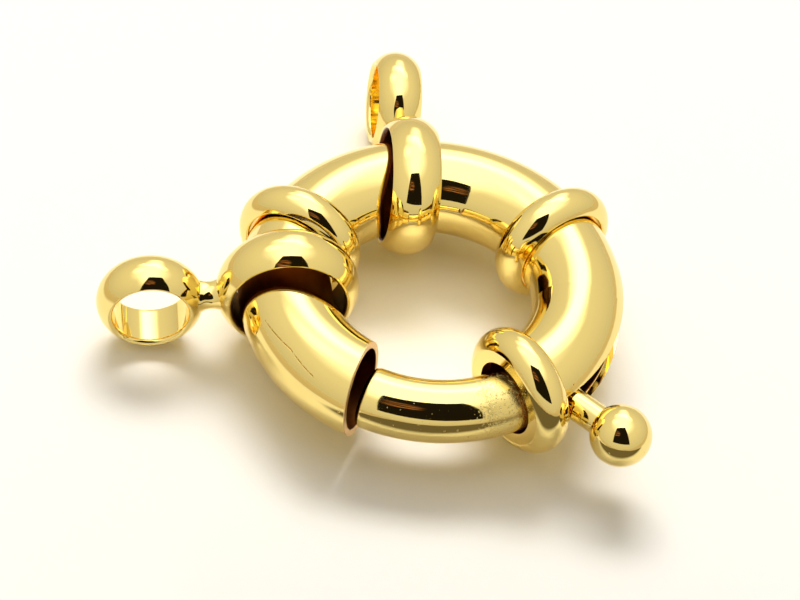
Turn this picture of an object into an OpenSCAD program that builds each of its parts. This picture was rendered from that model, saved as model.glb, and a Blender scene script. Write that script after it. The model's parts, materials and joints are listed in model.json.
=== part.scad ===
// Spring ring clasp with a sliding tongue, three collars and two end links.
// The ring lies flat: its axis is Z, and Z = 0 is the surface that it rests on.
// Angles are seen from above, counted from +X towards +Y.

/* [Ring tube] */
// Outer diameter of the whole ring
ring_od = 18; // [16:0.5:22]
// Outer diameter of the tube that the ring is bent from
tube_od = 4.36; // [4.1:0.02:4.6]
// Wall of the tube
tube_wall = 0.3; // [0.2:0.02:0.34]
// Angle of the tube's open left end
mouth_angle = -112.5; // [-118:0.5:-110]
// Turn of the left end's cut away from a radial cut
mouth_turn = 8; // [0:1:20]
// Lean of the left end's cut away from upright, facing up
mouth_lean = 5; // [0:1:8]
// Height of the slot that the pin travels in
slot_h = 1.66; // [1.6:0.02:1.9]
// Play around the slot in the hole that it ends in
slot_end_play = 0.1; // [0.06:0.02:0.3]

/* [Collars] */
// Outer diameter of the collars, which the ring rests on
collar_od = 6.1; // [5.8:0.05:6.4]
// Width of the collars along the tube
collar_w = 1.8; // [1.6:0.1:2.2]
// Angle of the collar at the tube's right end
end_collar_angle = -48.5; // [-54:0.5:-47]
// Angle of the collar on the right
right_collar_angle = 39; // [34:1:46]
// Angle of the collar on the left
left_collar_angle = 161; // [156:1:165]
// Diameter of the hole in the end collar's lip
lip_bore = 3.55; // [3.5:0.05:4]
// Thickness of the end collar's lip
lip_t = 0.4; // [0.3:0.05:0.6]

/* [Tongue] */
// Diameter of the tongue's rod
tongue_od = 2.9; // [2.5:0.05:2.95]
// Sag of the loose rod below the tube's centreline
tongue_sag = 0.15; // [0:0.01:0.16]
// Play that the loose rod has taken up away from the ring's middle
tongue_out = 0.12; // [0:0.01:0.15]
// Gap between the rod's tip and the middle of the left end's cut
tip_gap = 0.3; // [0.1:0.05:0.5]
// Rounding of the rod's tip
tip_round = 0.3; // [0.2:0.05:0.6]
// Length of the rod behind the pin, along the bend
tail_len = 2; // [1.5:0.1:3]
// Angle that the tongue slides back through to open the clasp
travel = 50; // [45:1:52]

/* [Thumb pin] */
// Diameter of the pin
pin_d = 1.4; // [1.1:0.05:1.4]
// Diameter of the ball on the pin
ball_d = 2.86; // [2.4:0.02:3.4]
// Distance from the tube's surface to the centre of the ball
ball_reach = 2.66; // [2.4:0.02:3.4]
// Lift of the pin's outer end in the slot's play
pin_lift = 4; // [0:1:5]
// Share of the ball's radius at which its inner side is cut flat
ball_flat = 0.78; // [0.6:0.02:0.9]

/* [Return spring] */
// Diameter of the spring's wire
wire_d = 0.36; // [0.3:0.02:0.4]
// Turns of the spring at rest
spring_turns = 13; // [10:1:16]
// Thickness of the stop that the spring pushes against
stop_t = 1; // [0.6:0.1:1.6]

/* [End links] */
// Inner diameter of the hoop around the tube
hoop_id = 5.22; // [5.16:0.02:5.7]
// Thickness of the hoop
hoop_t = 0.7; // [0.5:0.02:0.74]
// Width of the hoop along the tube
hoop_w = 2.3; // [1.8:0.1:2.4]
// Hole in the link's eye
eye_id = 3.5; // [3.2:0.02:4.2]
// Thickness of the eye
eye_t = 0.74; // [0.5:0.02:0.8]
// Width of the eye
eye_w = 2.1; // [1.6:0.1:2.2]
// Thickness of the neck's waist
neck_d = 1.3; // [1.1:0.05:1.6]
// Share of its flare's radius by which the neck widens on each side
neck_flare = 0.3; // [0.2:0.05:0.5]
// Distance between the centres of the hoop and the eye
link_pitch = 6.35; // [6.2:0.05:7]

/* [Places of the links] */
// Gap between the left collar and the left link's hoop, at the tube's inner side
left_link_gap = 0.24; // [0.16:0.02:0.6]
// Turn of the left link in its play, away from straight out
left_link_turn = 1; // [0:1:3]
// Sideways lean of the left link in its play
left_link_lean = 0; // [-4:1:4]
// Play that the left link's hoop has taken up towards the ring's middle
left_link_shift = 0.1; // [0:0.02:0.2]
// Angle of the back link's hoop on the ring
back_link_angle = 106; // [98:1:110]
// Turn of the back link in its play, away from straight out
back_link_turn = -5; // [-5:1:5]
// Sideways lean of the back link in its play
back_link_lean = 4; // [-8:1:8]
// Play that the back link's hoop has taken up towards the ring's middle
back_link_shift = 0.2; // [0:0.02:0.25]

/* [Fits] */
// Rounding of the collars' thin rims
collar_round = 0.12; // [0.08:0.01:0.14]
// Rounding of the rims of hoops and eyes
link_round = 0.2; // [0.1:0.02:0.24]
// Gap between a collar's bore and the tube, which bends inside it
collar_gap = 0.09; // [0.08:0.01:0.12]
// Gap between the pin and the end collar
pin_gap = 0.1; // [0.08:0.01:0.2]
// Gap under what stands on the surface beside the collars
floor_gap = 0.02; // [0:0.01:0.05]
// Gap between the spring and what is round it and at its ends
spring_gap = 0.08; // [0.05:0.01:0.12]

/* [Hidden] */
$fn = 96;
tube_r = tube_od / 2;
bore_r = tube_r - tube_wall;
ring_r = ring_od / 2 - tube_r;
collar_r = collar_od / 2;
collar_bore = tube_r + collar_gap;
// The collars carry the ring, so they set its height.
centre_z = collar_r;
// Sides of the rims' rounding, the overlap of what is fused, and a length past the part
EDGE_SIDES = 24;
EPS = 0.02;
BIG = ring_od;

// Angle along the ring that a length on its centreline takes
function arc(len) = len / ring_r * 180 / PI;
tube_end_angle = end_collar_angle - asin((collar_w / 2 - lip_t - EPS) / (ring_od / 2));
pin_angle = end_collar_angle + asin((collar_w / 2 + pin_d / 2 + pin_gap) / (ring_od / 2));
tongue_z = centre_z - tongue_sag;
tongue_r = ring_r + tongue_out;
tip_angle = mouth_angle + arc(tip_gap + tip_round);
tail_angle = pin_angle + arc(tail_len);
slot_start = pin_angle - arc(slot_h / 2);
slot_stop = pin_angle + travel;
left_link_angle = left_collar_angle + asin((collar_w + left_link_gap) / 2 / (ring_r - tube_r))
    + asin((hoop_w + left_link_gap) / 2 / (ring_r - tube_r));

// Sizes of the links: a band's dome has its centre inside the band, and rolls on the surface as it leans.
hoop_r = hoop_id / 2 + hoop_t;
eye_r = eye_id / 2 + eye_t;
function dome_radius(t, w, rim) = (pow(w / 2, 2) + pow(t - rim, 2)) / (2 * (t - rim));
function standing_z(r, t, w, lean) = let (dome_r = dome_radius(t, w, link_round))
    (r - dome_r) * cos(lean) + dome_r + floor_gap;

// Spring between the tongue's tail and its stop
coil_r = bore_r - spring_gap - wire_d / 2;
end_room = spring_gap + wire_d / 2;
spring_start = tail_angle + arc(end_room);
closed_turns_arc = arc(spring_turns * (wire_d + spring_gap));
stop_angle = tail_angle + travel + closed_turns_arc + arc(2 * end_room);
spring_arc = stop_angle - arc(end_room) - spring_start;
WIRE_SIDES = 6;
COIL_STEPS = 14;

// Moves a piece drawn about the Y axis onto the tube's centreline at an angle of the ring
module at_ring(angle, z = centre_z, r = ring_r)
    rotate([0, 0, angle]) translate([r, 0, z]) children();

// A bend of the ring's centreline between two angles, with its section as children
module bend(from, to, r = ring_r)
    rotate([0, 0, from]) rotate_extrude(angle = to - from) translate([r, 0]) children();

// Section of a band with a bore of radius r: flat inside, domed outside, with rounded rims
module band_section(r, t, w, rim) {
    dome_r = dome_radius(t, w, rim);
    intersection() {
        translate([r + t - dome_r, 0]) circle(r = dome_r);
        union() {
            translate([r, -w / 2 + rim]) square([t, w - 2 * rim]);
            translate([r + rim, -w / 2]) square([t, w]);
            for (s = [-1, 1])
                translate([r + rim, s * (w / 2 - rim)]) circle(r = rim, $fn = EDGE_SIDES);
        }
    }
}

// A band whose axis is Y, as the tube's is where the band sits
module band(r, t, w, rim)
    rotate([90, 0, 0]) rotate_extrude() band_section(r, t, w, rim);

// Wedge of the front gap, from the left end's turned and leaning cut to the radial cut at the right end
module front_gap() {
    left = ring_r * [cos(mouth_angle), sin(mouth_angle)];
    cut = [cos(mouth_angle + mouth_turn), sin(mouth_angle + mouth_turn)];
    // The wedge starts as far left of the cut as the cut leans.
    start = left - (tube_od * sin(mouth_lean) + EPS) * [-cut[1], cut[0]];
    right = [cos(tube_end_angle), sin(tube_end_angle)];
    intersection() {
        translate([0, 0, centre_z - tube_od]) linear_extrude(2 * tube_od)
            polygon([start - tube_od * cut, start + BIG * cut, [0, -BIG], BIG * right,
                (ring_r - tube_od) * right]);
        translate([left[0], left[1], centre_z]) rotate([0, 0, mouth_angle + mouth_turn])
            rotate([mouth_lean, 0, 0]) translate([-BIG, 0, -BIG]) cube(2 * BIG);
    }
}

// Slot sawn through the outer wall from under the end collar to a drilled hole
module slot() {
    translate([0, 0, centre_z - slot_h / 2])
        bend(slot_start, slot_stop) square([tube_od, slot_h]);
    at_ring(slot_stop) rotate([0, 90, 0]) cylinder(d = slot_h + slot_end_play, h = tube_od);
}

module ring_tube() {
    color("gold") difference() {
        translate([0, 0, centre_z]) rotate_extrude() translate([ring_r, 0]) difference() {
            circle(r = tube_r);
            circle(r = bore_r);
        }
        front_gap();
        slot();
    }
}

module plain_collar(angle)
    at_ring(angle) band(collar_bore, collar_r - collar_bore, collar_w, collar_round);

module right_collar() { color("gold") plain_collar(right_collar_angle); }
module left_collar() { color("gold") plain_collar(left_collar_angle); }

// The end collar has a lip over the tube's right end.
module end_collar() {
    lip_width = collar_bore + collar_round + EPS - lip_bore / 2;
    color("gold") at_ring(end_collar_angle) rotate([90, 0, 0]) rotate_extrude() {
        band_section(collar_bore, collar_r - collar_bore, collar_w, collar_round);
        translate([lip_bore / 2, collar_w / 2 - lip_t]) square([lip_width, lip_t - EPS]);
    }
}

module spring_stop() {
    color("gold") translate([0, 0, centre_z])
        bend(stop_angle, stop_angle + arc(stop_t)) circle(r = bore_r - EPS);
}

// Rounded end of the rod, from its last section outwards along Z. It starts a hair inside the rod's
// surface, because round faces that only touch can't be joined cleanly.
module rounded_tip() {
    flat_r = tongue_od / 2 - tip_round - EPS / 2;
    rotate_extrude() {
        square([flat_r, tip_round]);
        intersection() {
            translate([flat_r, 0]) circle(r = tip_round);
            square([tongue_od, tip_round]);
        }
    }
}

module tongue() {
    color("khaki") difference() {
        union() {
            translate([0, 0, tongue_z])
                bend(tip_angle, tail_angle, tongue_r) circle(d = tongue_od);
            at_ring(tip_angle, tongue_z, tongue_r) rotate([90, 0, 0]) rounded_tip();
        }
        along_pin() cylinder(r = pin_d / 2 + EPS, h = tongue_od);
    }
}

// Frame at the pin's foot on the tongue's centreline, with Z along the pin
module along_pin()
    at_ring(pin_angle, tongue_z) rotate([0, 90 - pin_lift, 0]) children();

// Pin seated in the tongue's hole, with a ball whose inner side is cut flat
module thumb_pin() {
    ball_x = tube_r + ball_reach;
    flat_x = ball_x - ball_flat * ball_d / 2;
    color("khaki") along_pin() {
        translate([0, 0, EPS]) cylinder(d = pin_d, h = ball_x - EPS);
        intersection() {
            translate([0, 0, ball_x]) sphere(d = ball_d);
            translate([0, 0, flat_x]) cylinder(d = 2 * ball_d, h = 2 * ball_d);
        }
    }
}

// Point of the spring's wire at a share u of its length: it winds about the bent centreline
function coil_at(u) = let (
    around = spring_start + u * spring_arc,
    wind = u * spring_turns * 360,
    r = ring_r + coil_r * cos(wind))
    [r * cos(around), r * sin(around), centre_z + coil_r * sin(wind)];

// Section of the wire at u, square to the wire between the points a step before and after
function unit(v) = v / norm(v);
function wire_section(u, step) = let (
    p = coil_at(u),
    along = unit(coil_at(u + step) - coil_at(u - step)),
    around = atan2(p[1], p[0]),
    centre = [ring_r * cos(around), ring_r * sin(around), centre_z],
    out = unit(cross(along, cross(p - centre, along))),
    side = cross(along, out))
    [for (k = [0:WIRE_SIDES - 1]) let (turn = k * 360 / WIRE_SIDES)
        p + wire_d / 2 * (cos(turn) * out + sin(turn) * side)];

module return_spring() {
    steps = spring_turns * COIL_STEPS;
    s = WIRE_SIDES;
    color("silver") polyhedron(
        points = [for (i = [0:steps]) each wire_section(i / steps, 1 / steps)],
        faces = [[for (k = [0:s - 1]) k], [for (k = [s - 1:-1:0]) steps * s + k],
            for (i = [0:steps - 1], k = [0:s - 1])
                [i * s + k, (i + 1) * s + k, (i + 1) * s + (k + 1) % s, i * s + (k + 1) % s]]);
}

// Neck with a waist, from the hoop's bore to the eye's bore along X
module neck() {
    neck_len = link_pitch - hoop_id / 2 - eye_id / 2;
    flare_r = neck_len / 2;
    waist = hoop_r + (link_pitch - hoop_r - eye_r) / 2;
    rotate([0, 90, 0]) rotate_extrude() difference() {
        translate([0, hoop_id / 2]) square([neck_d / 2 + flare_r * neck_flare, neck_len]);
        translate([neck_d / 2 + flare_r, waist]) circle(r = flare_r);
    }
}

// Clears the neck out of a band's bore
module bore(d, w)
    rotate([90, 0, 0]) cylinder(d = d + link_round, h = 2 * w, center = true);

// A link dips from its hoop to its eye, because both stand on the surface.
module link(angle, turn, lean, shift) {
    hoop_z = standing_z(hoop_r, hoop_t, hoop_w, lean);
    eye_z = standing_z(eye_r, eye_t, eye_w, lean);
    dip = asin((hoop_z - eye_z) / link_pitch);
    rotate([0, 0, angle]) translate([ring_r - shift, 0, hoop_z]) rotate([lean, dip, turn]) {
        band(hoop_id / 2, hoop_t, hoop_w, link_round);
        translate([link_pitch, 0, 0]) band(eye_id / 2, eye_t, eye_w, link_round);
        difference() {
            neck();
            bore(hoop_id, hoop_w);
            translate([link_pitch, 0, 0]) bore(eye_id, eye_w);
        }
    }
}

module left_link()
    color("gold") link(left_link_angle, left_link_turn, left_link_lean, left_link_shift);
module back_link()
    color("gold") link(back_link_angle, back_link_turn, back_link_lean, back_link_shift);

ring_tube();
end_collar();
right_collar();
left_collar();
spring_stop();
return_spring();
tongue();
thumb_pin();
left_link();
back_link();
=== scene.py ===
"""Gold-plated spring ring clasp with two end links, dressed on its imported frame."""

import json
import math

import bpy
from bpy.props import FloatProperty, FloatVectorProperty, IntProperty, PointerProperty
from mathutils import Matrix, Vector


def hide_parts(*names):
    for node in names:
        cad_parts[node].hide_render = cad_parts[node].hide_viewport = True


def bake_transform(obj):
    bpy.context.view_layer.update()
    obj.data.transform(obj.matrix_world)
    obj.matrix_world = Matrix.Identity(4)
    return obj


bl_info = {
    "name": "Spring Ring Clasp",
    "version": (1, 0, 0),
    "blender": (4, 5, 0),
    "location": "3D View > Sidebar > Clasp",
    "description": "Dresses a plated spring ring clasp and sets it on a pale studio floor",
    "category": "Object",
}

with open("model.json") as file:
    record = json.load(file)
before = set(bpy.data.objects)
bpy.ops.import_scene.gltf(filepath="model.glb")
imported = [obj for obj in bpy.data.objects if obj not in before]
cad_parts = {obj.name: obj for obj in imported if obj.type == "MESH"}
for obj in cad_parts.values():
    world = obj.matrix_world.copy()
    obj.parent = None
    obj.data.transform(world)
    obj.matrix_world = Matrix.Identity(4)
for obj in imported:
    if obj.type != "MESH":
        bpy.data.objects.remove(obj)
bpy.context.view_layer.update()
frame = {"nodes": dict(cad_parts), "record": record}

MM = 0.001

# Sizes that the ring's own shape gives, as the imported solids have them
RING_RADIUS = 6.82 * MM
TUBE_RADIUS = 2.18 * MM
BORE_RADIUS = 1.88 * MM
RING_HEIGHT = 3.05 * MM

# Each link turns about its hoop, so the joints give the hoops' middles and axes, and the mounts the eyes
LINKS = (("left_link_swing", "left_eye"), ("back_link_swing", "back_eye"))
HOOP_BORE_RADIUS = 2.61 * MM

# How far the neck's middle is from the hoop's middle, as a share of the way to the eye's
NECK_SHARE = 0.565

# The return spring: its ends are angles round the ring, from +X towards +Y
SPRING_START = -18.63
SPRING_END = 79.43

# Points on each turn of the spring, and sides of its wire
TURN_POINTS = 24
WIRE_SIDES = 12


def recorded(items, name):
    """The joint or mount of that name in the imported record."""
    for item in items:
        if item["name"] == name:
            return item
    raise RuntimeError(f"the record has no {name}")


def on_ring(degrees):
    """The point of the tube's middle line at an angle round the ring."""
    angle = math.radians(degrees)
    return (RING_RADIUS * math.cos(angle), RING_RADIUS * math.sin(angle), RING_HEIGHT)


def linear(hex_text):
    """An sRGB hex colour as linear red, green and blue."""
    channels = [int(hex_text[i : i + 2], 16) / 255 for i in (1, 3, 5)]
    return tuple(c / 12.92 if c <= 0.04045 else ((c + 0.055) / 1.055) ** 2.4 for c in channels)


class ClaspFinish(bpy.types.PropertyGroup):
    """Colours and finish of the metal."""

    gold: FloatVectorProperty(
        name="Gold plate", description="Colour of the polished gold plate",
        subtype="COLOR", size=3, min=0, max=1, default=linear("#FBE799"))
    deep_gold: FloatVectorProperty(
        name="Deeper gold", description="Colour where the plate is a little thicker",
        subtype="COLOR", size=3, min=0, max=1, default=linear("#F8E08C"))
    bare_brass: FloatVectorProperty(
        name="Brass", description="Colour of the brass at the tube's cut end",
        subtype="COLOR", size=3, min=0, max=1, default=linear("#E6C48C"))
    dull_brass: FloatVectorProperty(
        name="Dull brass", description="Colour of the unpolished brass inside the tube",
        subtype="COLOR", size=3, min=0, max=1, default=linear("#9A5A26"))
    # Painted shade: the dark colour of the links' hoop bores stands in for the shade inside them
    bore_shade: FloatVectorProperty(
        name="Bore shade", description="Colour of the tarnished brass in the links' hoops",
        subtype="COLOR", size=3, min=0, max=1, default=linear("#4E2610"))
    worn: FloatVectorProperty(
        name="Worn spots", description="Colour of the scratch and the pits",
        subtype="COLOR", size=3, min=0, max=1, default=linear("#B0872E"))
    spring_steel: FloatVectorProperty(
        name="Spring steel", description="Colour of the return spring's wire",
        subtype="COLOR", size=3, min=0, max=1, default=linear("#B9B4AA"))
    polish: FloatProperty(
        name="Polish roughness", description="Roughness of the polished plate",
        subtype="FACTOR", min=0, max=1, default=0.045)


class ClaspSpring(bpy.types.PropertyGroup):
    """Sizes of the return spring."""

    coil_radius: FloatProperty(
        name="Coil radius", description="From the coil's middle to the middle of its wire",
        unit="LENGTH", default=1.62 * MM, precision=5)
    wire_radius: FloatProperty(
        name="Wire radius", description="Half the wire's thickness",
        unit="LENGTH", default=0.18 * MM, precision=5)
    turns: IntProperty(
        name="Turns", description="Turns of the coil from end to end", default=13, min=1)


class ClaspStage(bpy.types.PropertyGroup):
    """The floor and the light tent."""

    floor_size: FloatProperty(
        name="Floor size", description="Side of the square floor", unit="LENGTH", default=3.0)
    floor_colour: FloatVectorProperty(
        name="Floor colour", description="Colour of the pale floor",
        subtype="COLOR", size=3, min=0, max=1, default=linear("#DEDBD5"))
    # Painted shade: the floor shows this darker colour only where the metal mirrors it away from the clasp
    reflected_shade_colour: FloatVectorProperty(
        name="Reflected shade colour", description="Colour of the floor well away from the clasp",
        subtype="COLOR", size=3, min=0, max=1, default=linear("#B0A28A"))
    wall_light: FloatProperty(
        name="Wall light", description="Brightness of the tent's walls", min=0, default=0.80)
    top_light: FloatProperty(
        name="Top light", description="Brightness of the soft light above", min=0, default=1.9)
    lamp_light: FloatProperty(
        name="Lamp light", description="Brightness of the main lamp as it lights the floor",
        min=0, default=19.0)
    lamp_image: FloatProperty(
        name="Lamp images", description="Brightness that the lamps add where the metal mirrors them",
        min=0, default=0.8)
    cast_tent: FloatProperty(
        name="Cast tent light", description="Share of the tent's brightness that falls on the floor",
        subtype="FACTOR", min=0, max=1, default=0.66)
    cast_metal: FloatProperty(
        name="Light off the metal",
        description="How much brighter the metal throws the tent's light on the floor",
        min=0, default=4.2)


def add(tree, kind, inputs=None, **settings):
    """Adds a node, with its settings, and its inputs set to a value or linked to a socket."""
    node = tree.nodes.new(kind)
    for name, value in settings.items():
        setattr(node, name, value)
    for key, value in (inputs or {}).items():
        if isinstance(value, bpy.types.NodeSocket):
            tree.links.new(value, node.inputs[key])
        else:
            node.inputs[key].default_value = value
    return node


def new_material(name):
    """An empty material and its node tree."""
    material = bpy.data.materials.new(name)
    material.use_nodes = True
    material.node_tree.nodes.clear()
    return material, material.node_tree


def along_tube(tree):
    """Object coordinates unrolled along the bent tube: lengths along it and round it, and the distance
    from its middle line."""
    place = add(tree, "ShaderNodeTexCoord").outputs["Object"]
    axes = add(tree, "ShaderNodeSeparateXYZ", {0: place}).outputs
    angle = add(tree, "ShaderNodeMath", {0: axes["Y"], 1: axes["X"]}, operation="ARCTAN2")
    along = add(tree, "ShaderNodeMath", {0: angle.outputs[0], 1: RING_RADIUS}, operation="MULTIPLY")
    flat = add(tree, "ShaderNodeVectorMath", {0: place, 1: (1, 1, 0)}, operation="MULTIPLY")
    reach = add(tree, "ShaderNodeVectorMath", {0: flat.outputs[0]}, operation="LENGTH")
    out = add(tree, "ShaderNodeMath", {0: reach.outputs["Value"], 1: RING_RADIUS}, operation="SUBTRACT")
    rise = add(tree, "ShaderNodeMath", {0: axes["Z"], 1: RING_HEIGHT}, operation="SUBTRACT")
    turn = add(tree, "ShaderNodeMath", {0: rise.outputs[0], 1: out.outputs[0]}, operation="ARCTAN2")
    around = add(tree, "ShaderNodeMath", {0: turn.outputs[0], 1: TUBE_RADIUS}, operation="MULTIPLY")
    section = add(tree, "ShaderNodeCombineXYZ", {"X": out.outputs[0], "Y": rise.outputs[0]})
    depth = add(tree, "ShaderNodeVectorMath", {0: section.outputs[0]}, operation="LENGTH")
    unrolled = add(tree, "ShaderNodeCombineXYZ", {"X": along.outputs[0], "Y": around.outputs[0]}).outputs[0]
    return unrolled, depth.outputs["Value"]


def spot(tree, vector, centre, radius, fade):
    """1 within the radius of a centre, falling to 0 over the fade."""
    away = add(tree, "ShaderNodeVectorMath", {0: vector, 1: centre}, operation="DISTANCE")
    return add(tree, "ShaderNodeMapRange",
               {"Value": away.outputs["Value"], "From Min": radius + fade, "From Max": radius},
               interpolation_type="SMOOTHSTEP").outputs[0]


def stroke(tree, vector, start, end, width, fade):
    """1 along a straight stroke between two points, falling to 0 over the fade on its sides."""
    run = Vector(end) - Vector(start)
    off = add(tree, "ShaderNodeVectorMath", {0: vector, 1: start}, operation="SUBTRACT").outputs[0]
    along = add(tree, "ShaderNodeVectorMath", {0: off, 1: run / run.length_squared}, operation="DOT_PRODUCT")
    share = add(tree, "ShaderNodeClamp", {0: along.outputs["Value"]}).outputs[0]
    nearest = add(tree, "ShaderNodeVectorMath", {0: tuple(run), "Scale": share}, operation="SCALE").outputs[0]
    away = add(tree, "ShaderNodeVectorMath", {0: off, 1: nearest}, operation="DISTANCE").outputs["Value"]
    return add(tree, "ShaderNodeMapRange",
               {"Value": away, "From Min": width / 2 + fade, "From Max": width / 2},
               interpolation_type="SMOOTHSTEP").outputs[0]


def combined(tree, sockets, operation="MAXIMUM"):
    """Several values joined by one operation."""
    result = sockets[0]
    for other in sockets[1:]:
        result = add(tree, "ShaderNodeMath", {0: result, 1: other}, operation=operation).outputs[0]
    return result


def noise(tree, place, size, detail):
    """Noise with lumps of about the given size."""
    return add(tree, "ShaderNodeTexNoise", {"Vector": place, "Scale": 1 / size, "Detail": detail}).outputs[0]


def mixed(tree, share, first, second):
    """A number between two, by a share."""
    return add(tree, "ShaderNodeMix", {0: share, 2: first, 3: second}, data_type="FLOAT").outputs[0]


def tinted(tree, share, first, second):
    """A colour between two, by a share."""
    ends = [end if isinstance(end, bpy.types.NodeSocket) else (*end, 1) for end in (first, second)]
    return add(tree, "ShaderNodeMix", {0: share, 6: ends[0], 7: ends[1]}, data_type="RGBA").outputs[2]


def bumped(tree, height, depth, normal=None, **settings):
    """The normal of a surface that the height raises by the depth."""
    inputs = {"Height": height, "Distance": depth}
    if normal is not None:
        inputs["Normal"] = normal
    return add(tree, "ShaderNodeBump", inputs, **settings).outputs[0]


class CLASP_OT_ring(bpy.types.Operator):
    """Gives the ring tube, its three collars and the spring's stop their metal"""

    bl_idname = "clasp.ring"
    bl_label = "Ring and collars"

    def execute(self, context):
        dress("ring_tube", tube_plate())
        gold = plain_plate()
        for name in ("end_collar", "right_collar", "left_collar", "spring_stop"):
            dress(name, gold)
        return {"FINISHED"}


class CLASP_OT_tongue(bpy.types.Operator):
    """Gives the sliding tongue and its thumb pin their metal"""

    bl_idname = "clasp.tongue"
    bl_label = "Tongue and thumb pin"

    def execute(self, context):
        dress("tongue", tongue_plate())
        dress("thumb_pin", plain_plate())
        return {"FINISHED"}


class CLASP_OT_links(bpy.types.Operator):
    """Gives the two end links their metal"""

    bl_idname = "clasp.links"
    bl_label = "End links"

    def execute(self, context):
        gold = link_plate()
        for name in ("left_link", "back_link"):
            dress(name, gold)
        return {"FINISHED"}


def dress(name, material):
    """Puts one material on all of a CAD node."""
    slots = frame["nodes"][name].material_slots
    if not slots:
        raise RuntimeError(f"{name} has no material slot")
    for slot in slots:
        slot.material = material


# Roughness of the metal where it is worn, rubbed, sawn or drawn, and in the hoops' bores, which are painted
# dark as shade
WORN_ROUGH = 0.35
RUBBED_ROUGH = 0.26
SAWN_ROUGH = 0.42
DRAWN_ROUGH = 0.36
BORE_SHADE_ROUGH = 0.4


def gold_plate(tree, marks=None, dull=None, ripple=None):
    """Gold plate over polished brass: a mirror with a slow wave, a fine grain and a slight change of tint.

    The marks are darker and sunk, the dull places have rough specks, and the ripple is a deeper wave."""
    finish = bpy.context.scene.clasp_finish
    place = add(tree, "ShaderNodeTexCoord").outputs["Object"]
    # The polishing wheel leaves a slow wave of about 2 mm and a few thousandths deep
    normal = bumped(tree, noise(tree, place, 2.0 * MM, 1.0), 0.004 * MM)
    # Plating grain is finer than the render shows, and is drawn at 0.05 mm
    grain = noise(tree, place, 0.05 * MM, 2.0)
    rough = add(tree, "ShaderNodeMapRange",
                {"Value": grain, "To Min": finish.polish * 0.7, "To Max": finish.polish * 1.5}).outputs[0]
    # The plate's thickness changes its tint slightly over some 5 mm
    colour = tinted(tree, noise(tree, place, 5 * MM, 3.0), finish.gold, finish.deep_gold)
    # Pits in the plate are 0.05 mm wide, and few of the 2 mm cells that they lie in meet the surface there
    cells = add(tree, "ShaderNodeTexVoronoi", {"Vector": place, "Scale": 1 / (2.0 * MM), "Randomness": 1.0})
    pits = add(tree, "ShaderNodeMapRange",
               {"Value": cells.outputs["Distance"], "From Min": 0.028, "From Max": 0.012}).outputs[0]
    worn = pits if marks is None else combined(tree, [pits, marks])
    if ripple is not None:
        # The solder's lumps are 0.7 mm wide
        lumps = noise(tree, place, 0.7 * MM, 1.0)
        normal = bumped(tree, combined(tree, [lumps, ripple], "MULTIPLY"), 0.12 * MM, normal)
    if dull is not None:
        # Rubbing leaves specks of some 0.1 mm, closer together where it rubs harder
        specks = noise(tree, place, 0.11 * MM, 2.0)
        hard = add(tree, "ShaderNodeMath", {0: dull, 1: 0.42, 2: specks}, operation="MULTIPLY_ADD").outputs[0]
        matt = add(tree, "ShaderNodeMapRange", {"Value": hard, "From Min": 0.74, "From Max": 0.82}).outputs[0]
        normal = bumped(tree, matt, 0.010 * MM, normal)
        rough = mixed(tree, matt, rough, RUBBED_ROUGH)
    normal = bumped(tree, worn, 0.012 * MM, normal, invert=True)
    return tinted(tree, worn, colour, finish.worn), mixed(tree, worn, rough, WORN_ROUGH), normal


def metal(tree, colour, rough, normal):
    """The shader of polished metal and the material's output."""
    shader = add(tree, "ShaderNodeBsdfPrincipled",
                 {"Base Color": colour, "Metallic": 1.0, "Roughness": rough, "Normal": normal})
    add(tree, "ShaderNodeOutputMaterial", {"Surface": shader.outputs[0]})


def plain_plate():
    """The collars' and the stop's gold plate."""
    material, tree = new_material("Polished gold plate")
    metal(tree, *gold_plate(tree))
    return material


# The scratch on the tube and two pits beside it, in mm along the tube and round it
SCRATCH = ((-17.83, 1.55), (-16.17, 1.71), (-14.77, 1.42))
PITS = ((-4.51, 1.21), (-13.43, 0.53))

# The cut at the tube's left end: its place round the ring, the direction of the cut and its lean, in
# degrees, and how far from the middle of the cut its edge can be
MOUTH_ANGLE = -112.5
MOUTH_CUT = -104.5
MOUTH_LEAN = 5
MOUTH_REACH = 2.5 * MM


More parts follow.
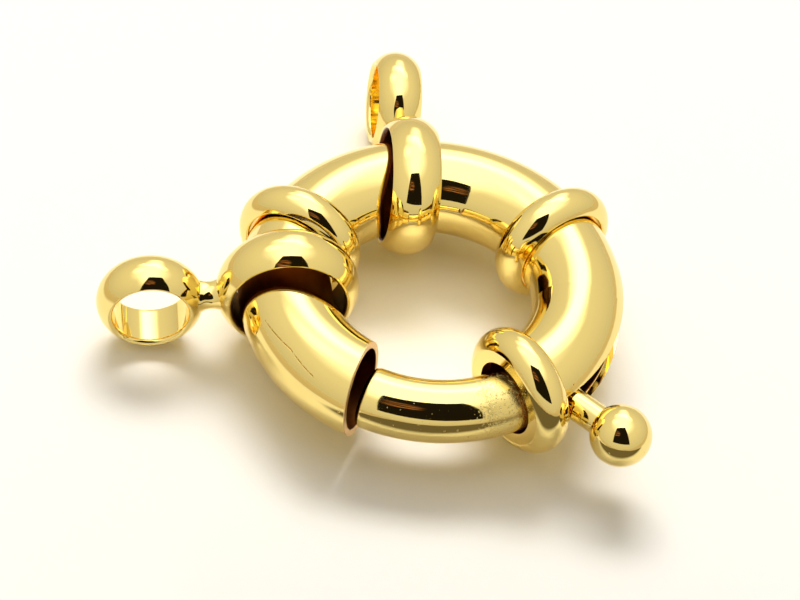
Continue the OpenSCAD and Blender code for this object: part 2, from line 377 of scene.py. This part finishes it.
def tube_plate():
    """The tube's gold plate with its scratch, bare brass on the cut at its mouth and dull brass inside."""
    finish = bpy.context.scene.clasp_finish
    material, tree = new_material("Polished gold plate of the tube, brass at its cut and inside")
    unrolled, depth = along_tube(tree)
    points = [(x * MM, y * MM, 0) for x, y in SCRATCH]
    strokes = [stroke(tree, unrolled, a, b, 0.03 * MM, 0.03 * MM) for a, b in zip(points, points[1:])]
    # The scratch is broken every 0.25 mm or so
    kept = add(tree, "ShaderNodeMapRange",
               {"Value": noise(tree, unrolled, 0.25 * MM, 2.0), "From Min": 0.38, "From Max": 0.5}).outputs[0]
    scratch = combined(tree, [combined(tree, strokes), kept], "MULTIPLY")
    pits = [spot(tree, unrolled, (x * MM, y * MM, 0), 0.02 * MM, 0.04 * MM) for x, y in PITS]
    colour, rough, normal = gold_plate(tree, marks=combined(tree, [scratch, *pits]))
    place = add(tree, "ShaderNodeTexCoord").outputs["Object"]
    corner = on_ring(MOUTH_ANGLE)
    cut = math.radians(MOUTH_CUT)
    lean = math.radians(MOUTH_LEAN)
    facing = (-math.sin(cut) * math.cos(lean), math.cos(cut) * math.cos(lean), math.sin(lean))
    off = add(tree, "ShaderNodeVectorMath", {0: place, 1: corner}, operation="SUBTRACT").outputs[0]
    plane = add(tree, "ShaderNodeVectorMath", {0: off, 1: facing}, operation="DOT_PRODUCT").outputs["Value"]
    height = add(tree, "ShaderNodeMath", {0: plane}, operation="ABSOLUTE").outputs[0]
    level = add(tree, "ShaderNodeMapRange",
                {"Value": height, "From Min": 0.05 * MM, "From Max": 0.02 * MM}).outputs[0]
    rim = combined(tree, [level, spot(tree, place, corner, MOUTH_REACH, 0.5 * MM)], "MULTIPLY")
    inside = add(tree, "ShaderNodeMapRange",
                 {"Value": depth, "From Min": BORE_RADIUS + 0.06 * MM,
                  "From Max": BORE_RADIUS + 0.02 * MM}).outputs[0]
    # The drawn bore has a grain of 0.2 mm, and the saw leaves one of 0.06 mm on the cut
    drawn = noise(tree, place, 0.2 * MM, 3.0)
    sawn = noise(tree, place, 0.06 * MM, 2.0)
    for mask, tint, texture, deep, matt in (
        (inside, finish.dull_brass, drawn, 0.02 * MM, DRAWN_ROUGH),
        (rim, finish.bare_brass, sawn, 0.008 * MM, SAWN_ROUGH),
    ):
        colour = tinted(tree, mask, colour, tint)
        rough = mixed(tree, mask, rough, matt)
        normal = bumped(tree, combined(tree, [texture, mask], "MULTIPLY"), deep, normal)
    metal(tree, colour, rough, normal)
    return material


# Where the collar rubs the tongue, in mm along it, and the specks on its plate, in mm along it and round it
RUBBED_AT = -7.1
TONGUE_SPECKS = ((-9.6, 0.25), (-10.6, 0.6), (-7.1, 0.1), (-7.0, 0.35), (-8.7, -0.35))


def tongue_plate():
    """The tongue's gold plate, rubbed dull where it runs through the end collar."""
    material, tree = new_material("Polished gold plate of the tongue, rubbed by the collar")
    unrolled = along_tube(tree)[0]
    low, high = ((RUBBED_AT * MM, side * MM, 0) for side in (-1.5, 3.5))
    rubbed = stroke(tree, unrolled, low, high, 0.3 * MM, 1.5 * MM)
    specks = [spot(tree, unrolled, (x * MM, y * MM, 0), 0.015 * MM, 0.035 * MM) for x, y in TONGUE_SPECKS]
    metal(tree, *gold_plate(tree, marks=combined(tree, specks), dull=rubbed))
    return material


def off_axis(tree, place, middle, way):
    """Distance from the axis through a point."""
    off = add(tree, "ShaderNodeVectorMath", {0: place, 1: middle}, operation="SUBTRACT").outputs[0]
    along = add(tree, "ShaderNodeVectorMath", {0: off, 1: way}, operation="PROJECT").outputs[0]
    return add(tree, "ShaderNodeVectorMath", {0: off, 1: along}, operation="DISTANCE").outputs["Value"]


def link_plate():
    """The links' gold plate, with the solder's soft lumps round each neck and painted shade in the hoops'
    bores.
    """
    finish = bpy.context.scene.clasp_finish
    material, tree = new_material("Polished gold plate of the links, lumpy at the solder")
    place = add(tree, "ShaderNodeTexCoord").outputs["Object"]
    lumps = []
    depths = []
    for joint, mount in LINKS:
        hoop = recorded(frame["record"]["behaviour"]["joints"], joint)
        eye = recorded(frame["record"]["mounts"], mount)
        neck = Vector(hoop["pos_m"]).lerp(Vector(eye["pos_m"]), NECK_SHARE)
        lumps.append(spot(tree, place, tuple(neck), 0.5 * MM, 1.0 * MM))
        depths.append(off_axis(tree, place, tuple(hoop["pos_m"]), tuple(hoop["axis"])))
    colour, rough, normal = gold_plate(tree, ripple=combined(tree, lumps))
    # Painted shade: the hoops' bores are coloured dark and made rougher where shade falls inside them
    bore = add(tree, "ShaderNodeMapRange",
               {"Value": combined(tree, depths, "MINIMUM"), "From Min": HOOP_BORE_RADIUS + 0.14 * MM,
                "From Max": HOOP_BORE_RADIUS + 0.06 * MM}).outputs[0]
    metal(tree, tinted(tree, bore, colour, finish.bore_shade), mixed(tree, bore, rough, BORE_SHADE_ROUGH), normal)
    return material


def spring_wire():
    """Drawn spring steel: grey, with a fine grain from the drawing die."""
    finish = bpy.context.scene.clasp_finish
    material, tree = new_material("Drawn spring steel")
    place = add(tree, "ShaderNodeTexCoord").outputs["Object"]
    rough = add(tree, "ShaderNodeMapRange",
                {"Value": noise(tree, place, 0.04 * MM, 2.0), "To Min": 0.18, "To Max": 0.38})
    shader = add(tree, "ShaderNodeBsdfPrincipled",
                 {"Base Color": (*finish.spring_steel, 1), "Metallic": 1.0, "Roughness": rough.outputs[0]})
    add(tree, "ShaderNodeOutputMaterial", {"Surface": shader.outputs[0]})
    return material


def interface_input(tree, name, default):
    """A named input of a Geometry Nodes tree, for a whole number or a real one."""
    kind = "NodeSocketInt" if isinstance(default, int) else "NodeSocketFloat"
    socket = tree.interface.new_socket(name, in_out="INPUT", socket_type=kind)
    socket.default_value = default
    return socket


def coil_tree(material):
    """Geometry Nodes: a straight line is turned into a coil and bent round the ring's axis, then swept."""
    tree = bpy.data.node_groups.new("Return spring", "GeometryNodeTree")
    sizes = {
        "Ring radius": RING_RADIUS, "Height": RING_HEIGHT, "Coil radius": 1.0, "Wire radius": 1.0,
        "Start angle": 0.0, "End angle": 1.0, "Turns": 1.0, "Points": 100,
    }
    sockets = {name: interface_input(tree, name, value) for name, value in sizes.items()}
    tree.interface.new_socket("Geometry", in_out="OUTPUT", socket_type="NodeSocketGeometry")
    given = add(tree, "NodeGroupInput").outputs
    line = add(tree, "GeometryNodeMeshLine", {"Count": given["Points"]}, mode="OFFSET")
    index = add(tree, "GeometryNodeInputIndex").outputs[0]
    last = add(tree, "ShaderNodeMath", {0: given["Points"], 1: 1.0}, operation="SUBTRACT")
    share = add(tree, "ShaderNodeMath", {0: index, 1: last.outputs[0]}, operation="DIVIDE").outputs[0]
    angle = add(tree, "ShaderNodeMapRange",
                {"Value": share, "To Min": given["Start angle"], "To Max": given["End angle"]}).outputs[0]
    turned = add(tree, "ShaderNodeMath", {0: share, 1: given["Turns"]}, operation="MULTIPLY")
    phase = add(tree, "ShaderNodeMath", {0: turned.outputs[0], 1: math.tau}, operation="MULTIPLY").outputs[0]
    side = add(tree, "ShaderNodeMath", {0: phase}, operation="COSINE").outputs[0]
    rise = add(tree, "ShaderNodeMath", {0: phase}, operation="SINE").outputs[0]
    reach = add(tree, "ShaderNodeMath", {0: side, 1: given["Coil radius"], 2: given["Ring radius"]},
                operation="MULTIPLY_ADD").outputs[0]
    height = add(tree, "ShaderNodeMath", {0: rise, 1: given["Coil radius"], 2: given["Height"]},
                 operation="MULTIPLY_ADD").outputs[0]
    cosine = add(tree, "ShaderNodeMath", {0: angle}, operation="COSINE").outputs[0]
    sine = add(tree, "ShaderNodeMath", {0: angle}, operation="SINE").outputs[0]
    x = add(tree, "ShaderNodeMath", {0: reach, 1: cosine}, operation="MULTIPLY").outputs[0]
    y = add(tree, "ShaderNodeMath", {0: reach, 1: sine}, operation="MULTIPLY").outputs[0]
    place = add(tree, "ShaderNodeCombineXYZ", {"X": x, "Y": y, "Z": height}).outputs[0]
    moved = add(tree, "GeometryNodeSetPosition", {"Geometry": line.outputs[0], "Position": place})
    curve = add(tree, "GeometryNodeMeshToCurve", {"Mesh": moved.outputs[0]})
    ring = add(tree, "GeometryNodeCurvePrimitiveCircle",
               {"Resolution": WIRE_SIDES, "Radius": given["Wire radius"]})
    swept = add(tree, "GeometryNodeCurveToMesh",
                {"Curve": curve.outputs[0], "Profile Curve": ring.outputs[0], "Fill Caps": True})
    smooth = add(tree, "GeometryNodeSetShadeSmooth", {"Geometry": swept.outputs[0]})
    real = add(tree, "GeometryNodeRealizeInstances", {"Geometry": smooth.outputs[0]})
    painted = add(tree, "GeometryNodeSetMaterial", {"Geometry": real.outputs[0], "Material": material})
    add(tree, "NodeGroupOutput", {0: painted.outputs[0]})
    return tree, {name: socket.identifier for name, socket in sockets.items()}


def grown(name, tree, identifiers, values):
    """Runs a Geometry Nodes tree with its inputs and returns the result as a plain mesh object."""
    holder = bpy.data.objects.new(name + "_holder", bpy.data.meshes.new(name + "_holder"))
    bpy.context.scene.collection.objects.link(holder)
    modifier = holder.modifiers.new("Shape", "NODES")
    modifier.node_group = tree
    for key, value in values.items():
        modifier[identifiers[key]] = value
    graph = bpy.context.evaluated_depsgraph_get()
    mesh = bpy.data.meshes.new_from_object(holder.evaluated_get(graph), depsgraph=graph)
    holder.modifiers.clear()
    bpy.data.objects.remove(holder)
    if not mesh.polygons:
        raise RuntimeError(f"{name} came out empty")
    piece = bpy.data.objects.new(name, mesh)
    bpy.context.scene.collection.objects.link(piece)
    return piece


class CLASP_OT_spring(bpy.types.Operator):
    """Winds the return spring inside the tube"""

    bl_idname = "clasp.spring"
    bl_label = "Return spring"

    def execute(self, context):
        sizes = context.scene.clasp_spring
        tree, identifiers = coil_tree(spring_wire())
        spring = grown("return_spring_wire", tree, identifiers, {
            "Ring radius": RING_RADIUS, "Height": RING_HEIGHT,
            "Coil radius": sizes.coil_radius, "Wire radius": sizes.wire_radius,
            "Start angle": math.radians(SPRING_START), "End angle": math.radians(SPRING_END),
            "Turns": float(sizes.turns), "Points": sizes.turns * TURN_POINTS + 1,
        })
        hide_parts("return_spring")
        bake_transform(spring)
        return {"FINISHED"}


# The camera: where it stands, how far it looks down and how far it is turned about its own axis
CAMERA_PLACE = (-1.42 * MM, -107.04 * MM, 122.58 * MM)
CAMERA_DOWN = 48.33
CAMERA_ROLL = 7.77
CAMERA_LENS = 155.9

# The dark card round the camera, seen in the polished metal: its corners and the middle of its brown patch,
# across and up, as multiples of its distance
CARD_DISTANCE = 60 * MM
CARD_CORNERS = ((-0.17, 0.43), (0.366, 0.457), (0.71, -0.71), (-0.47, -0.51))
CARD_PATCH = (-0.12, 0.03)
# The card glows with these colours instead of being lit: the brown is painted light
CARD_BLACK_GLOW = (0.012, 0.009, 0.006)
CARD_BROWN_GLOW = (0.62, 0.25, 0.10)

# A dark sheet that glows, laid on the floor in front of the camera's view and seen only in the metal: painted
# shade. Its middle, half its sides, its soft edge, its height over the floor and its glow
SHADE_MAT_MIDDLE = (8 * MM, -36 * MM)
SHADE_MAT_HALF = (16 * MM, 22.5 * MM)
SHADE_MAT_FADE = 2.5 * MM
SHADE_MAT_HEIGHT = 0.02 * MM
SHADE_MAT_GLOW = (0.16, 0.13, 0.08)

# The floor's part that the metal mirrors pale: its middle, radius and soft edge. Beyond it the mirrored floor
# is painted darker, as shade
PALE_IN_REFLECTIONS = ((2 * MM, 4 * MM, 0), 27 * MM, 7 * MM)

# The lights, on a level ceiling one unit above the clasp. Round ones: middle, radius, fade. The strip and the
# main lamp, across and back: middle, half their width, fade.
CAP = ((0.0, 0.05, 1.0), 0.28, 0.66)
SIDE_LAMPS = (((-0.50, 0.30, 1.0), 0.05, 0.3), ((0.36, 0.62, 1.0), 0.08, 0.25))
STRIP = ((0.0, 0.08, 0.42), (0.8, 0.8, 1.7))
MAIN_LAMP = ((-0.12, 0.26, 0.36), (0.88, 0.08, 0.30))

# The cap's brightness as a share of the strip's, the walls' at the floor and high up as shares of their own,
# the height on a unit sphere where they are brightest, and the warm tint of their cloth
CAP_SHARE = 0.78
WALL_SHARES = (0.85, 1.12)
WALL_HEIGHT = 0.75
WALL_TINT = (1.0, 0.93, 0.80)

# What the camera sees past the floor's edge
BACKDROP_LIGHT = 1.1


def stage_mesh(name, corners, material):
    """One flat face that isn't part of the clasp."""
    mesh = bpy.data.meshes.new(name)
    mesh.from_pydata(corners, [], [range(len(corners))])
    mesh.materials.append(material)
    item = bpy.data.objects.new(name, mesh)
    bpy.context.scene.collection.objects.link(item)
    return item


def floor_material(colour, reflected_shade):
    """Matt white board: it spreads light evenly, with a faint sheen.

    Beyond its pale part, the floor that the metal mirrors is painted darker: painted shade seen only in
    reflections."""
    material, tree = new_material("White board")
    board = spot(tree, add(tree, "ShaderNodeTexCoord").outputs["Object"], *PALE_IN_REFLECTIONS)
    # Painted shade: rays mirrored off the metal see the floor darker beyond its pale part
    mirrored = add(tree, "ShaderNodeLightPath").outputs["Is Glossy Ray"]
    plain = add(tree, "ShaderNodeMath", {0: 1.0, 1: mirrored}, operation="SUBTRACT").outputs[0]
    shader = add(tree, "ShaderNodeBsdfPrincipled",
                 {"Base Color": tinted(tree, combined(tree, [board, plain]), reflected_shade, colour),
                  "Roughness": 0.6, "Specular IOR Level": 0.3})
    add(tree, "ShaderNodeOutputMaterial", {"Surface": shader.outputs[0]})
    return material


def card_material():
    """Black card with folds of brown cloth, which the metal mirrors. It glows with its colours instead of
    being lit, so the brown folds are painted light.
    """
    material, tree = new_material("Black card")
    place = add(tree, "ShaderNodeTexCoord").outputs["Object"]
    across, up = (add(tree, "ShaderNodeVectorMath", {0: place, 1: tuple(camera_turn() @ Vector(way))},
                      operation="DOT_PRODUCT").outputs["Value"] for way in ((1, 0, 0), (0, 1, 0)))
    near = spot(tree, place, card_point(*CARD_PATCH), 0.07 * CARD_DISTANCE, 0.14 * CARD_DISTANCE)
    # The folds run across the card, 3 mm wide and 30 mm long
    stretched = add(tree, "ShaderNodeMath", {0: across, 1: 0.1}, operation="MULTIPLY").outputs[0]
    way = add(tree, "ShaderNodeCombineXYZ", {"X": stretched, "Y": up}).outputs[0]
    lit = add(tree, "ShaderNodeMapRange",
              {"Value": noise(tree, way, 3 * MM, 3.0), "From Min": 0.44, "From Max": 0.60}).outputs[0]
    colour = tinted(tree, combined(tree, [near, lit], "MULTIPLY"), CARD_BLACK_GLOW, CARD_BROWN_GLOW)
    # Painted light: the card glows with its colour, and no lamp lights it
    glow = add(tree, "ShaderNodeEmission", {"Color": colour})
    add(tree, "ShaderNodeOutputMaterial", {"Surface": glow.outputs[0]})
    return material


def band(tree, value, centre, half, fade):
    """1 inside a band, falling smoothly to 0 outside it."""
    off = add(tree, "ShaderNodeMath", {0: value, 1: centre}, operation="SUBTRACT")
    size = add(tree, "ShaderNodeMath", {0: off.outputs[0]}, operation="ABSOLUTE")
    return add(tree, "ShaderNodeMapRange",
               {"Value": size.outputs[0], "From Min": half + fade, "From Max": half},
               interpolation_type="SMOOTHSTEP").outputs[0]


def patch(tree, axes, sides):
    """1 inside an oblong, falling smoothly to 0 outside it. A side is a middle, a half width and a fade."""
    return combined(tree, [band(tree, axes[axis], *side) for axis, side in zip("XY", sides)], "MULTIPLY")


def shade_mat_material():
    """Painted shade: a dark, glowing sheet with soft edges, which the clasp's lower sides mirror."""
    material, tree = new_material("Painted shade mat")
    place = add(tree, "ShaderNodeTexCoord").outputs["Object"]
    axes = add(tree, "ShaderNodeSeparateXYZ", {0: place}).outputs
    inside = patch(tree, axes, [(middle, half, SHADE_MAT_FADE) for middle, half in zip(SHADE_MAT_MIDDLE, SHADE_MAT_HALF)])
    clear = add(tree, "ShaderNodeBsdfTransparent").outputs[0]
    # Painted shade: a fixed dark glow that no lamp lights
    glow = add(tree, "ShaderNodeEmission", {"Color": (*SHADE_MAT_GLOW, 1)}).outputs[0]
    mix = add(tree, "ShaderNodeMixShader", {0: inside, 1: clear, 2: glow})
    add(tree, "ShaderNodeOutputMaterial", {"Surface": mix.outputs[0]})
    return material


def camera_turn():
    """The camera's rotation."""
    return (Matrix.Rotation(math.radians(90 - CAMERA_DOWN), 4, "X")
            @ Matrix.Rotation(math.radians(CAMERA_ROLL), 4, "Z"))


def card_point(across, up):
    """A point of the dark card, in metres, from multiples of the card's distance."""
    return Vector((0, 0, RING_HEIGHT)) + camera_turn() @ Vector((across, up, 1.0)) * CARD_DISTANCE


def tent_world(context):
    """A light tent with warm walls, a round light above, a strip and a main lamp behind it, and two weaker
    lamps."""
    lights = context.scene.clasp_stage
    world = bpy.data.worlds.new("Light tent")
    world.use_nodes = True
    tree = world.node_tree
    tree.nodes.clear()
    way = add(tree, "ShaderNodeTexCoord").outputs["Generated"]
    axes = add(tree, "ShaderNodeSeparateXYZ", {0: way}).outputs
    # Where the ray meets a level ceiling one unit up
    height = add(tree, "ShaderNodeMath", {0: axes["Z"], 1: 0.05}, operation="MAXIMUM").outputs[0]
    heights = add(tree, "ShaderNodeCombineXYZ", {0: height, 1: height, 2: height}).outputs[0]
    ceiling = add(tree, "ShaderNodeVectorMath", {0: way, 1: heights}, operation="DIVIDE").outputs[0]
    flat = add(tree, "ShaderNodeSeparateXYZ", {0: ceiling}).outputs

    # A round light over the clasp, and the strip by which it reaches down behind it
    cap = spot(tree, ceiling, *CAP)
    strip = patch(tree, flat, STRIP)
    # The main lamp behind the clasp, and two weaker ones on its sides
    main_lamp = patch(tree, flat, MAIN_LAMP)
    side_lamps = combined(tree, [spot(tree, ceiling, *lamp) for lamp in SIDE_LAMPS])
    # The walls grow darker towards the floor
    foot, top = (lights.wall_light * share for share in WALL_SHARES)
    walls = add(tree, "ShaderNodeMapRange",
                {"Value": axes["Z"], "From Min": 0.0, "From Max": WALL_HEIGHT, "To Min": foot, "To Max": top})
    tent = mixed(tree, cap, walls.outputs[0], lights.top_light * CAP_SHARE)
    tent = mixed(tree, strip, tent, lights.top_light)
    tent = add(tree, "ShaderNodeMath", {0: side_lamps, 1: lights.lamp_image, 2: tent},
               operation="MULTIPLY_ADD").outputs[0]
    # The floor gets less of the tent, and more of the lamp and of what the metal throws on it, than the
    # metal shows to the camera. That makes the shadows deep and warm.
    path = add(tree, "ShaderNodeLightPath").outputs
    straight = add(tree, "ShaderNodeMath", {0: path["Diffuse Depth"], 1: 0.5},
                   operation="LESS_THAN").outputs[0]
    image = combined(tree, [path["Is Glossy Ray"], straight], "MULTIPLY")
    share = mixed(tree, path["Is Glossy Ray"], lights.cast_tent, mixed(tree, image, lights.cast_metal, 1.0))
    cast = combined(tree, [tent, share], "MULTIPLY")
    power = mixed(tree, image, lights.lamp_light, lights.lamp_image)
    bright = add(tree, "ShaderNodeMath", {0: main_lamp, 1: power, 2: cast},
                 operation="MULTIPLY_ADD").outputs[0]
    # The walls' cloth is warmer than the light that falls in from above
    seen = path["Is Camera Ray"]
    white = combined(tree, [cap, strip, main_lamp, seen])
    back = add(tree, "ShaderNodeBackground",
               {"Color": tinted(tree, white, WALL_TINT, (1, 1, 1)),
                "Strength": mixed(tree, seen, bright, BACKDROP_LIGHT)})
    add(tree, "ShaderNodeOutputWorld", {"Surface": back.outputs[0]})
    context.scene.world = world


class CLASP_OT_stage(bpy.types.Operator):
    """Lays the pale floor, sets up the light tent and places the camera"""

    bl_idname = "clasp.stage"
    bl_label = "Floor, light and camera"

    def execute(self, context):
        stage = context.scene.clasp_stage
        half = stage.floor_size / 2
        stage_mesh("floor", [(-half, -half, 0), (half, -half, 0), (half, half, 0), (-half, half, 0)],
                   floor_material(stage.floor_colour, stage.reflected_shade_colour))
        card = stage_mesh("camera_card", [card_point(*corner) for corner in CARD_CORNERS], card_material())
        card.visible_camera = False
        # Painted shade on the floor in front, hidden from the camera and seen only in the metal
        wide, deep = (side + SHADE_MAT_FADE for side in SHADE_MAT_HALF)
        mat = stage_mesh("painted_shade_mat", [
            (SHADE_MAT_MIDDLE[0] + a * wide, SHADE_MAT_MIDDLE[1] + b * deep, SHADE_MAT_HEIGHT)
            for a, b in ((-1, -1), (1, -1), (1, 1), (-1, 1))], shade_mat_material())
        mat.visible_camera = False
        mat.visible_diffuse = False
        mat.visible_shadow = False
        tent_world(context)
        camera = bpy.data.cameras.new("Camera")
        camera.lens = CAMERA_LENS
        camera.sensor_width = 36
        camera.clip_start = 0.01
        camera.clip_end = 20
        seat = bpy.data.objects.new("Camera", camera)
        seat.matrix_world = Matrix.Translation(CAMERA_PLACE) @ camera_turn()
        context.scene.collection.objects.link(seat)
        context.scene.camera = seat
        context.scene.view_settings.view_transform = "Standard"
        # Light reaches the inside of the tube only after many reflections
        context.scene.cycles.max_bounces = 16
        context.scene.cycles.glossy_bounces = 12
        context.scene.cycles.sample_clamp_indirect = 30
        return {"FINISHED"}


STEPS = (CLASP_OT_ring, CLASP_OT_tongue, CLASP_OT_links, CLASP_OT_spring, CLASP_OT_stage)


class CLASP_PT_panel(bpy.types.Panel):
    """Lists the steps that make the clasp, with its sizes and colours"""

    bl_idname = "CLASP_PT_panel"
    bl_label = "Spring ring clasp"
    bl_space_type = "VIEW_3D"
    bl_region_type = "UI"
    bl_category = "Clasp"

    def draw(self, context):
        for group in (context.scene.clasp_finish, context.scene.clasp_spring, context.scene.clasp_stage):
            box = self.layout.box()
            for name in group.bl_rna.properties.keys():
                if name not in ("rna_type", "name"):
                    box.prop(group, name)
        for step in STEPS:
            self.layout.operator(step.bl_idname)


GROUPS = {"clasp_finish": ClaspFinish, "clasp_spring": ClaspSpring, "clasp_stage": ClaspStage}


def register():
    """Registers the classes and hangs their settings on the scene."""
    for kind in (*GROUPS.values(), *STEPS, CLASP_PT_panel):
        bpy.utils.register_class(kind)
    for name, kind in GROUPS.items():
        setattr(bpy.types.Scene, name, PointerProperty(type=kind))


def unregister():
    """Takes away what register added."""
    for name in GROUPS:
        delattr(bpy.types.Scene, name)
    for kind in reversed((*GROUPS.values(), *STEPS, CLASP_PT_panel)):
        bpy.utils.unregister_class(kind)


def main():
    """Makes the clasp and its stage."""
    register()
    for step in STEPS:
        group, name = step.bl_idname.split(".")
        if getattr(getattr(bpy.ops, group), name)() != {"FINISHED"}:
            raise RuntimeError(f"{step.bl_idname} did not finish")


if __name__ == "__main__":
    main()
